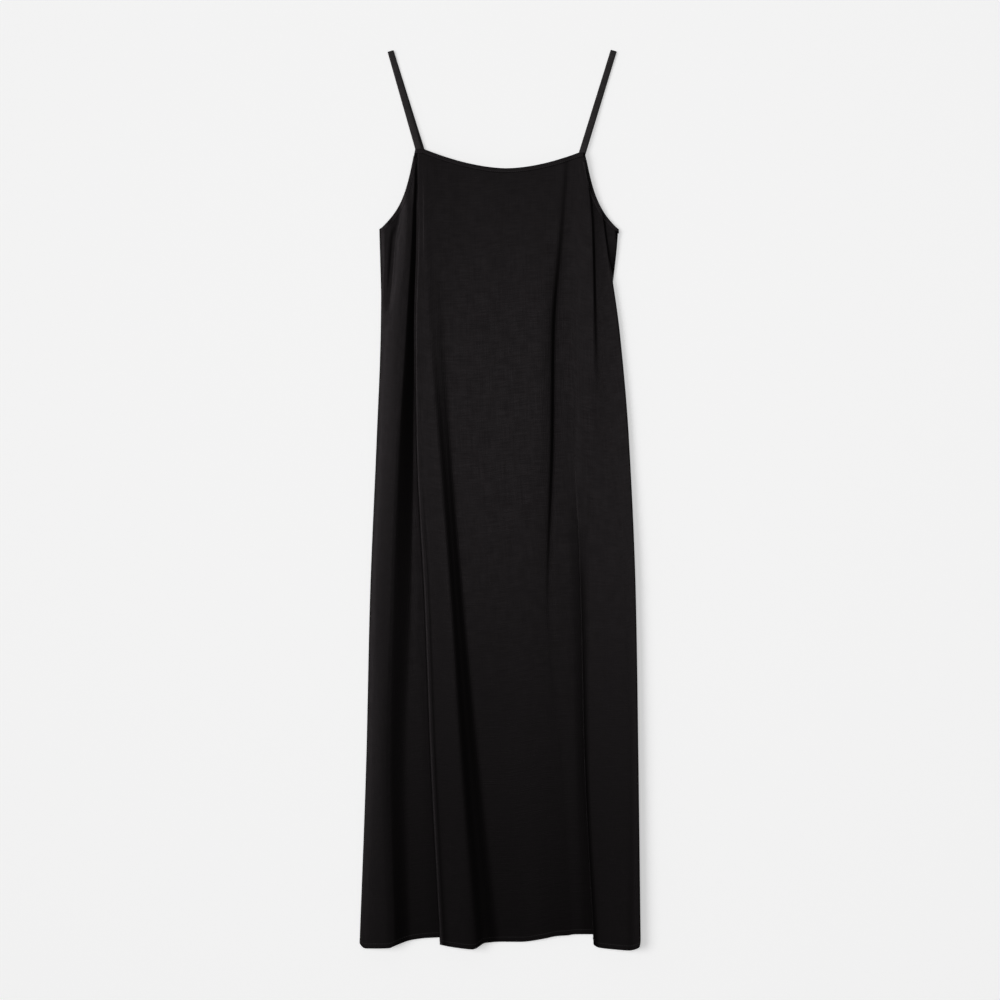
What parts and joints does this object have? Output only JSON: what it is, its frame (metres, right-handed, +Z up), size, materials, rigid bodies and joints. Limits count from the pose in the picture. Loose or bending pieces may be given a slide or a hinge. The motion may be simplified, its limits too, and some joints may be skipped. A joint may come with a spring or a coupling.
{
  "type": "slip dress",
  "caption": "Long black slip dress with narrow folded straps, a scooped neckline and a wide skirt, laid flat with soft lengthwise folds.",
  "frame": {"origin": "on the surface the dress lies on, under the middle of its box", "axes": "+Y from the hem towards the straps, +X to the right of someone who looks down at the front, +Z up off the surface"},
  "size_m": [0.4053, 1.3004, 0.0152],
  "materials": {
    "panel_cloth": "fine slubbed viscose weave with a soft satin sheen",
    "band_cloth": "the same cloth cut on the bias, folded and edge-stitched",
    "strap_cloth": "the same cloth sewn into a flat tube"
  },
  "bodies": {
    "root": {"front_panel": "panel_cloth", "back_panel": "panel_cloth", "neck_band_front": "band_cloth", "neck_band_back": "band_cloth", "armhole_band_left": "band_cloth", "armhole_band_right": "band_cloth", "strap_left": "strap_cloth", "strap_right": "strap_cloth"}
  },
  "joints": []
}
